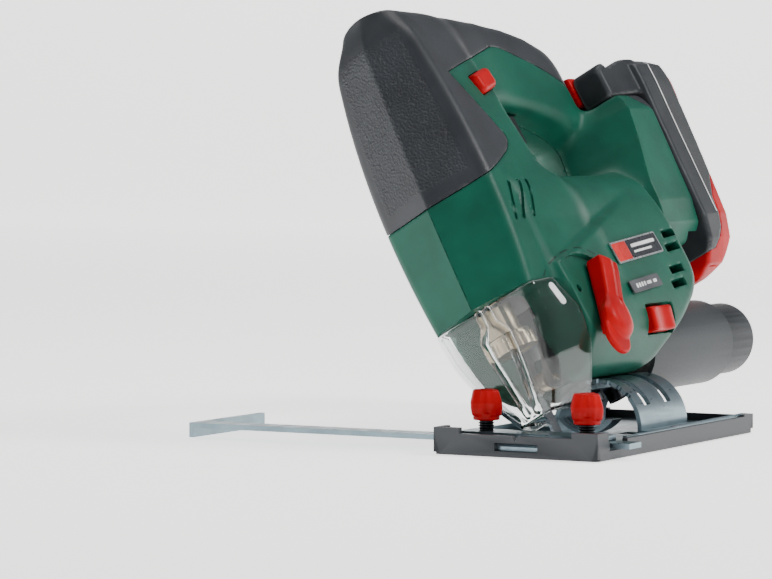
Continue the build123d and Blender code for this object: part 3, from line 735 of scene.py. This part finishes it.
def above_seam(y, z):
    """Distance above the line where the cap meets the halves; negative is in the cap."""
    corner = convex(y, z, [(-90, 119.5), (-46, 123), (-13, 136.5), (-9, 142), (-25, 181),
                           (-30, 190), (-90, 190)], 4)
    rising = (178.8 + (y + 25) * 0.262 - z) * 0.967
    falling = (201.5 - (y - 60) * 0.40 - z) * 0.928
    steep = (187.5 - (y - 96) * 0.64 - z) * 0.842
    strip = smin(smin(rising, falling, 6), steep, 3)
    return smin(corner, strip, 2)


def cap_panel(x, y, z):
    """Mask of the coarse grip panels on the cap's two front facets."""
    crease, ridge_x = np.polyval(NOSE_CREASE, z), np.polyval(NOSE_RIDGE_X, z)
    across = np.abs(x) / ridge_x
    ahead = y - (crease + np.abs(x) * 0.31)
    inset = np.minimum(np.minimum((0.80 - across) * 28, z - 130), 206 - z)
    return np.clip(inset / 1.5, 0, 1) * (ahead < 3)


deep_green = (0.0028, 0.083, 0.051)
green = moulded_plastic("green_nylon", deep_green, 0.42, 1900, 0.00007, 1.16)
dialled_green = moulded_plastic("green_nylon_with_dial", deep_green, 0.42, 1900, 0.00007, 1.16)


def math_node(tree, operation, *values):
    node = tree.nodes.new("ShaderNodeMath")
    node.operation = operation
    for socket, value in zip(node.inputs, values):
        if isinstance(value, (int, float)):
            socket.default_value = value
        else:
            wire(tree, value, socket)
    return node.outputs[0]


DIAL_RADIUS, DIAL_LINE = 0.0385, 0.00035    # metres, from the lever's axle
DIAL_MIDDLE, DIAL_REACH = 1.60, 0.70        # radians, where the arc lies
DIAL_DASHES = 23


def mark_dial(material):
    """A dashed arc of lever positions round the lever's axle, as a darker colour only."""
    tree = material.node_tree
    place = tree.nodes.new("ShaderNodeTexCoord")
    apart = tree.nodes.new("ShaderNodeSeparateXYZ")
    wire(tree, place.outputs["Object"], apart.inputs[0])
    rise = math_node(tree, "MULTIPLY", apart.outputs["Z"], math.cos(LEAN))
    rise = math_node(tree, "SUBTRACT", rise,
                     math_node(tree, "MULTIPLY", apart.outputs["X"], math.sin(LEAN)))
    rest = PIVOT_HEIGHT * (1 - math.cos(LEAN)) - LEVER_AXLE[1]
    rise = math_node(tree, "ADD", rise, rest / 1000)
    run = math_node(tree, "SUBTRACT", apart.outputs["Y"], LEVER_AXLE[0] / 1000)
    squares = math_node(tree, "ADD", math_node(tree, "MULTIPLY", rise, rise),
                        math_node(tree, "MULTIPLY", run, run))
    radius = math_node(tree, "SQRT", squares)
    turn = math_node(tree, "ARCTAN2", rise, run)
    ring = math_node(tree, "COMPARE", radius, DIAL_RADIUS, DIAL_LINE)
    gaps = math_node(tree, "GREATER_THAN",
                     math_node(tree, "SINE", math_node(tree, "MULTIPLY", turn, DIAL_DASHES)), -0.35)
    span = math_node(tree, "COMPARE", turn, DIAL_MIDDLE, DIAL_REACH)
    mark = math_node(tree, "MULTIPLY", math_node(tree, "MULTIPLY", ring, gaps), span)
    shader = tree.nodes["Principled BSDF"]
    colour = shader.inputs["Base Color"].links[0].from_socket
    mix = tree.nodes.new("ShaderNodeMix")
    mix.data_type = "RGBA"
    mix.inputs["B"].default_value = (0.001, 0.02, 0.012, 1)
    wire(tree, colour, mix.inputs["A"])
    wire(tree, mark, mix.inputs["Factor"])
    wire(tree, mix.outputs["Result"], shader.inputs["Base Color"])


mark_dial(dialled_green)
cap_black = moulded_plastic("cap_nylon", (0.029, 0.032, 0.037), 0.42, 2100, 0.00006, 1.15,
                            mask="panel", shine=0.34)
CELL = 1.05
BODY_LOW, BODY_HIGH = (-40, -68, 20), (40, 154, 226)
GAP = 0.12
SPLIT_GAP = 0.04
for side, label in ((1, "left"), (-1, "right")):
    low = (-2, *BODY_LOW[1:]) if side > 0 else BODY_LOW
    high = BODY_HIGH if side > 0 else (2, *BODY_HIGH[1:])
    half = mould("housing_shell_" + label,
                 lambda x, y, z, s=side: smax(smax(housing_rule(x, y, z), SPLIT_GAP - s * x, 0.2),
                                              GAP - above_seam(y, z), 0.8),
                 low, high, CELL, dialled_green if side > 0 else green)
    hand_over(half, "machine", "green", "housing_" + label)
cap = mould("nose_and_handle_cap",
            lambda x, y, z: smax(housing_rule(x, y, z), above_seam(y, z) + GAP, 0.8),
            (-36, -68, 110), (36, 154, 226), CELL, cap_black, paint=cap_panel)
hand_over(cap, "machine", "charcoal", "top_cap")

# ------------------------------------------------------------ name and data plates
# Two thin plates glued on the motor housing: aluminium rims with printed fields.
# The marks are plain bars and blocks.

aluminium = zinc_plate("anodised_rim", (0.75, 0.76, 0.78), 0.3)
print_black = moulded_plastic("printed_black", (0.022, 0.024, 0.03), 0.3, 900, 0.00001)
print_red = moulded_plastic("printed_red", (0.55, 0.02, 0.018), 0.3, 900, 0.00001)
print_white = moulded_plastic("printed_white", (0.8, 0.8, 0.8), 0.35, 900, 0.00001)


def tablet(name, middle, turn, patches, material):
    """Thin rounded plates on the left side: each patch is (along, over, length, height,
    inner x, outer x, slant)."""
    points, faces = [], []
    for along, over, length, height, inner, outer, slant in patches:
        corner = min(0.9, 0.3 * height)
        ring = []
        for turn_at, cx, cy in ((0, 1, 1), (90, -1, 1), (180, -1, -1), (270, 1, -1)):
            for step in range(4):
                a = math.radians(turn_at + step * 30)
                u = cx * (length / 2 - corner) + corner * math.cos(a)
                v = cy * (height / 2 - corner) + corner * math.sin(a)
                u += v * slant
                ring.append((along + u, over + v))
        base = len(points)
        for x in (inner, outer):
            for u, v in ring:
                points.append((x, middle[0] + u * math.cos(turn) - v * math.sin(turn),
                               middle[1] + u * math.sin(turn) + v * math.cos(turn)))
        count = len(ring)
        faces.append([base + count + i for i in range(count)])
        faces.append([base + i for i in reversed(range(count))])
        for i in range(count):
            j = (i + 1) % count
            faces.append([base + i, base + j, base + count + j, base + count + i])
    return solid_mesh(name, leaned(np.array(points)), faces, material, 30)


NAME_MIDDLE, DATA_MIDDLE = (50.5, 78.6), (41, 60.1)
rim = tablet("name_plate_rim", NAME_MIDDLE, CLIMB, [(0, 0, 53, 10.8, 35.9, 36.5, 0)], aluminium)
hand_over(rim, "machine", "plate", "brand_plate")
for name, material, patches in (
        ("name_plate_field", print_black, [(8.0, 0, 35, 9.2, 36.4, 36.6, 0)]),
        ("name_plate_block", print_red, [(-17.8, 0, 15.4, 9.2, 36.4, 36.6, 0)]),
        ("name_plate_bars", print_white,
         [(8.0, 1.4, 28, 1.7, 36.5, 36.66, 0.2), (5.0, -1.7, 21, 1.1, 36.5, 36.66, 0.2)])):
    hand_over(tablet(name, NAME_MIDDLE, CLIMB, patches, material), "machine", "plate")
data = tablet("data_plate_field", DATA_MIDDLE, CLIMB, [(0, 0, 34, 6.2, 35.9, 36.5, 0)],
              moulded_plastic("printed_grey", (0.075, 0.078, 0.085), 0.4, 900, 0.00001))
hand_over(data, "machine", "plate", "type_plate")
bars = [(-10.5 + 3.0 * i, 0, 2.0, 2.2, 36.4, 36.6, 0.2) for i in range(4)]
bars += [(3.5, 0, 5.0, 1.6, 36.4, 36.6, 0.2), (10.5, 0, 4.0, 1.6, 36.4, 36.6, 0.2)]
hand_over(tablet("data_plate_marks", DATA_MIDDLE, CLIMB, bars, print_white), "machine", "plate")

# ------------------------------------------------------------ drive inside the shell
# Motor, fan, pinion, crank gear, plunger and their cast frame. Only glimpses show
# through the vents and the nose, so the machined parts keep their plain turned form.

steel = zinc_plate("ground_steel", (0.48, 0.49, 0.5), 0.25, (1, 1, 0.1))
for node in ("plunger_rod", "crank_gear", "motor_can", "motor_pinion", "fork_axle"):
    dress(node, steel)
dress("gear_frame", zinc_plate("die_cast_aluminium", (0.5, 0.5, 0.5), 0.5))
dress("motor_rotor", zinc_plate("wound_copper", (0.5, 0.22, 0.1), 0.4))
dress("cooling_fan", charcoal)
dress("switch_module", charcoal)
dress("battery_rails", charcoal)
dress("trigger", moulded_plastic("trigger_moulding", (0.02, 0.021, 0.023), 0.4))
dress("control_board", moulded_plastic("circuit_board", (0.01, 0.08, 0.03), 0.35, 500))
dress("battery_cells", moulded_plastic("cell_sleeve", (0.03, 0.12, 0.3), 0.35, 600))

# ------------------------------------------------------------ blade clamp and guide
# Turned steel clamp with a scalloped release collar, both yellow-passivated; the blade
# is hardened steel and the fork carries a grooved roller behind it.

tan = zinc_plate("yellow_passivated_steel", (0.46, 0.38, 0.27), 0.36)
for node in ("blade_clamp", "clamp_collar", "guide_roller"):
    dress(node, tan)
dress("roller_fork", zinc_plate("fork_steel", (0.34, 0.36, 0.38), 0.34))
dress("blade", zinc_plate("blade_steel", (0.5, 0.51, 0.53), 0.2, (1, 0.1, 1)))

# ------------------------------------------------------------ orbital lever
# Red acetal lever on the left side: a teardrop base, a domed hub and a flat-sided grip
# that leans back. It snaps on the axle of the pendulum cam.

GRIP_TIP = (2.5, 72.0)


def lever_rule(x, y, z):
    axle = LEVER_AXLE
    hub = smax(rod(y, z, axle, 10.2), slab(x, 36.5, 43), 6)
    base = smax(capsule(y, z, axle, (axle[0] - 6.0, axle[1] - 8.0), 8.6),
                slab(x, 36.4, 39.2), 1.2)
    lean_back = math.atan2(GRIP_TIP[1] - axle[1], GRIP_TIP[0] - axle[0])
    along, over = tilted(y, z, axle, lean_back)
    wide = 6.0 + 0.6 * np.clip((along - 12) / 20, 0, 1)
    top = 40.6 + 2.3 * np.clip(along / 26, 0, 1) - np.abs(over) * 0.16
    grip = smax(np.abs(over) - wide, slab(along, -2, 32.6), 1.6)
    grip = smax(grip, slab(x, 33.4, top), 1.6)
    ridge = smax(smax(np.abs(over + 4.6) - 0.9, slab(along, 6, 31.8), 1),
                 slab(x, 34, top + 0.9), 1.2)
    grip = smin(grip, ridge, 1.0)
    shaft = np.maximum(rod(y, z, axle, 3.2), slab(x, 24, 38))
    return np.minimum(smin(smin(hub, base, 1.2), grip, 3.0), shaft)


lever = mould("orbital_lever_grip", lever_rule, (23, -32, 24), (45, 14, 78), 0.5, signal_red)
hand_over(lever, "lever", "red", "orbital_lever")

# ------------------------------------------------------------ blower switch and lock-off
# Two more red keys. The blower switch slides along the lower flank and has a thumb dish;
# the lock-off bar goes right through the handle.


def blower_rule(x, y, z):
    out = (x - 32) * 0.970 - (z - 41) * 0.243
    up = (x - 32) * 0.243 + (z - 41) * 0.970
    key = smax(smax(slab(out, -6, 2.7), slab(y, 34.3, 55.9), 2.0), slab(up, -3.4, 8.2), 1.6)
    dish = rod(out, y, (15.2, 45.1), 13.6)
    return smax(key, -dish, 1.2)


def lock_rule(x, y, z):
    run, rise = tilted(y, z, (3, 173.5), math.radians(15))
    return smax(smax(slab(x, -29, 29), slab(run, -8.5, 8.5), 3), slab(rise, -5.25, 5.25), 3)


hand_over(mould("blower_switch_key", blower_rule, (22, 30, 32), (42, 60, 54), 0.45, signal_red),
          "blower", "red", "blower_switch")
hand_over(mould("lock_off_bar", lock_rule, (-31, -10, 162), (31, 16, 184), 0.6, signal_red),
          "lock", "red", "lock_off_button")

# ------------------------------------------------------------ clear guard
# Injection-moulded clear polycarbonate, clipped over the nose's mouth: a flat front
# with two bottle-shaped ribs, and side walls that flare back.

GUARD_FRONT, GUARD_BACK = -53.6, -27.0
GUARD_WALL = 1.5


def guard_rule(x, y, z):
    across = np.abs(x)
    front = np.interp(z, [15, 37, 56, 71], [9.5, 21, 26.5, 27.5])
    rear = np.interp(z, [15, 24, 38, 51, 71], [16, 22, 29.5, 32, 32.3])
    wide = front + (rear - front) * (y - GUARD_FRONT) / (GUARD_BACK - GUARD_FRONT)
    cup = smax(across - wide, GUARD_FRONT - y, 5)
    room = np.maximum(cup + GUARD_WALL, 17.2 - z)
    shell = smax(smax(cup, slab(z, 15.6, 70.6), 1.2), y - GUARD_BACK, 1.0)
    shell = smax(shell, -room, 0.5)
    rib = None
    line = ((2.3, 70), (2.5, 63), (6.4, 56.5), (6.2, 49), (2.6, 19))
    for a, b in zip(line, line[1:]):
        bead = capsule(across, z, a, b, 1.35)
        rib = bead if rib is None else np.minimum(rib, bead)
    rib = smax(rib, slab(y, GUARD_FRONT - 0.8, GUARD_FRONT + 2.3), 0.8)
    shell = smin(shell, rib, 0.7)
    shell = np.maximum(shell, -brick(x, y, z, (-8, 8), (-52, 0), (10, 24)))
    clip = convex(y, z, [(-24, 50), (-15, 50), (-15, 80), (-40, 80), (-37, 71.5)], 2)
    return smax(shell, -clip, 1)


clear = bpy.data.materials.new("clear_polycarbonate")
clear.use_nodes = True
glass = clear.node_tree.nodes["Principled BSDF"]
glass.inputs["Transmission Weight"].default_value = 1.0
glass.inputs["IOR"].default_value = 1.49
glass.inputs["Base Color"].default_value = (0.96, 0.975, 0.975, 1)
haze = clear.node_tree.nodes.new("ShaderNodeGroup")
haze.node_tree = GRAIN
haze.inputs["Grain Scale"].default_value = 300
wire(clear.node_tree, ramp_between(clear.node_tree, haze.outputs["Blotch"], 0.02, 0.07),
     glass.inputs["Roughness"])
guard = mould("blade_guard_shell", guard_rule, (-35, -56, 13), (35, -24, 73), 0.55, clear,
              sharp=50)
hand_over(guard, "machine", "clear", "guard")


def sticker_rule(x, y, z):
    wide = 26.9 + 5.2 * (y - GUARD_FRONT) / (GUARD_BACK - GUARD_FRONT)
    patch = capsule(y, z, (-39.5, 66), (-37, 58.5), 1.9)
    return np.maximum(np.maximum(patch, slab(x - wide, -0.1, 0.35)), -x)


hand_over(mould("guard_sticker", sticker_rule, (24, -44, 54), (35, -32, 71), 0.3, print_white),
          "machine", "plate")

# ------------------------------------------------------------ dust adapter
# Smooth grey tube that plugs into the channel behind the arch; its stub takes a hose.

# The lighter edge colour here is a painted highlight on convex edges.
dress("dust_adapter", moulded_plastic("adapter_moulding", (0.024, 0.027, 0.031), 0.4, 1500,
                                      0.00003, edge_highlight=(0.05, 0.055, 0.06), shine=0.1))

# ------------------------------------------------------------ battery pack
# Slide-on pack: charcoal shell, red back cover that wraps the lower rear edge, a red
# release key between two hooks, and a thin printed line down each side.

PACK_SIDE = [(150.5, 70), (156, 67.5), (168, 70), (178, 81), (184, 112), (188, 146),
             (188, 174), (180, 183), (128, 183), (124, 179), (124, 163.6), (150.5, 163.6)]
PACK_HALF = ([67.5, 73, 83, 95, 120, 146, 168, 178, 183],
             [12, 24, 31, 34, 35, 36.2, 37.5, 37.5, 33])
PACK_WALL = 2.4
COVER_GAP = 0.12


def pack_rule(x, y, z):
    half = np.interp(z, *PACK_HALF) - np.clip(y - 167, 0, 30) * 0.05
    lower = convex(y, z, PACK_SIDE[:8] + [(150.5, 183)], 5)
    deck = convex(y, z, [(124, 163.6), (124, 179.5), (129, 183), (160, 183), (160, 163.6)], 2)
    nook = np.clip(150 - y, 0, 40) * 0.17
    main = smax(lower, np.abs(x) - half, 3)
    shelf = smax(deck, np.abs(x) - (34.5 - nook), 2.5)
    whole = smin(main, shelf, 1.5)
    step = brick(x, y, z, (-14.6, 14.6), (118, 138), (160, 190), 1)
    whole = smax(whole, -step, 1.0)
    ledge = convex(y, z, [(132, 179), (150, 185), (150, 190), (126, 190)], 1)
    return smax(whole, -ledge, 1.5)


def cover_line(y, z):
    """Negative where the red cover is: a thin edge up the back, a wide wrap below."""
    edge = np.interp(z, [60, 76, 79, 88, 104, 112, 118, 146, 200],
                     [140, 140, 158, 167, 170.5, 177, 182.2, 185.7, 185.7])
    return (edge - y) * 0.8


def shell_rule(x, y, z):
    whole = pack_rule(x, y, z)
    tongue = brick(x, y, z, (-25.8, 25.8), (141, 156), (92, 162), 1)
    whole = np.minimum(whole, tongue)
    room = np.maximum(pack_rule(x, y, z) + PACK_WALL, 152.9 - y)
    whole = np.maximum(whole, -room)
    return smax(whole, COVER_GAP - cover_line(y, z), 0.7)


def cover_rule(x, y, z):
    whole = np.maximum(pack_rule(x, y, z), -(pack_rule(x, y, z) + PACK_WALL))
    return smax(whole, cover_line(y, z) + COVER_GAP, 0.7)


# The much lighter edge colour here is a painted highlight on the pack's convex edges.
pack_black = moulded_plastic("pack_moulding", (0.028, 0.031, 0.035), 0.4, 1700, 0.00007, 1.2,
                             edge_highlight=(0.16, 0.165, 0.17))
hand_over(mould("battery_case", shell_rule, (-40, 120, 64), (40, 192, 186), 1.0, pack_black),
          "battery", "charcoal", "battery_shell")
hand_over(mould("battery_back", cover_rule, (-40, 136, 64), (40, 192, 186), 1.0, signal_red),
          "battery", "red", "battery_cover")


def release_rule(x, y, z):
    key = smax(smax(slab(x, -14, 14), slab(y, 122.8, 133.8), 2), slab(z, 167, 183.6), 2)
    for level in (171.5, 175, 178.5):
        key = smax(key, -rod(y, z, (122.2, level), 1.1), 0.5)
    return key


hand_over(mould("release_key", release_rule, (-16, 120, 165), (16, 136, 186), 0.5, signal_red),
          "battery_release", "red", "battery_button")


def stripe_rule(x, y, z):
    line = np.abs(y - 166.5) - 0.42
    proud = pack_rule(x, y, z)
    return np.maximum(np.maximum(line, slab(proud, -0.3, 0.14)), slab(z, 96, 180))


stripe = mould("pack_stripe", lambda x, y, z: np.maximum(stripe_rule(x, y, z), 20 - np.abs(x)),
               (-39, 164, 94), (39, 169, 182), 0.3, print_white)
hand_over(stripe, "battery", "plate")
